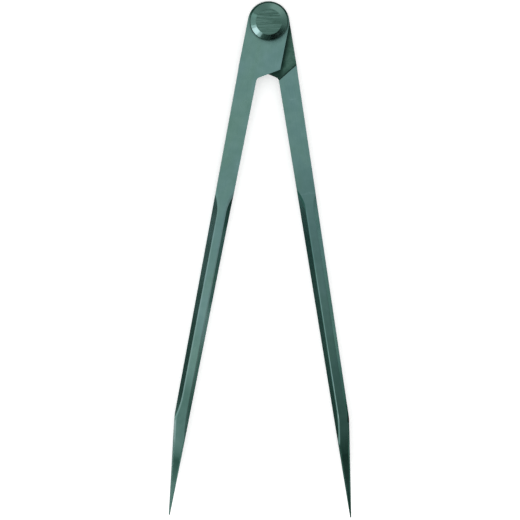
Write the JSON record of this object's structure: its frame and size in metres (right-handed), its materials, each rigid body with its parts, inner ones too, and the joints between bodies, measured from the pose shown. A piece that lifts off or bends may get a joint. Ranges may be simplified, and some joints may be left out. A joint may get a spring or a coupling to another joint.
{
  "type": "dividers",
  "caption": "Firm-joint steel dividers: half-lapped legs with bevelled shanks and ground points, turning stiffly on a broad bevelled rivet.",
  "frame": {"origin": "on the pivot axis, at the outer face of the peened rivet and rear washer", "axes": "+Z along the pivot axis from the back to the front with the rivet's head, -Y from the pivot towards the points midway between the legs, +X towards the right leg seen from the front"},
  "size_m": [0.1088, 0.3069, 0.0137],
  "materials": {
    "leg_steel": "satin, lengthwise grind",
    "rivet_steel": "satin, straight scratches across the face",
    "washer_brass": "rolled sheet, dull"
  },
  "bodies": {
    "right_leg_body": {"right_leg": "leg_steel", "rivet": "rivet_steel", "rear_washer": "rivet_steel", "joint_washer": "washer_brass"},
    "left_leg_body": {"left_leg": "leg_steel"}
  },
  "joints": [
    {"name": "leg_pivot", "type": "hinge", "parent": "right_leg_body", "child": "left_leg_body", "pos_m": [0, 0, 0.00625], "axis": [0, 0, -1], "range_deg": [-20.5, 159.5]}
  ]
}
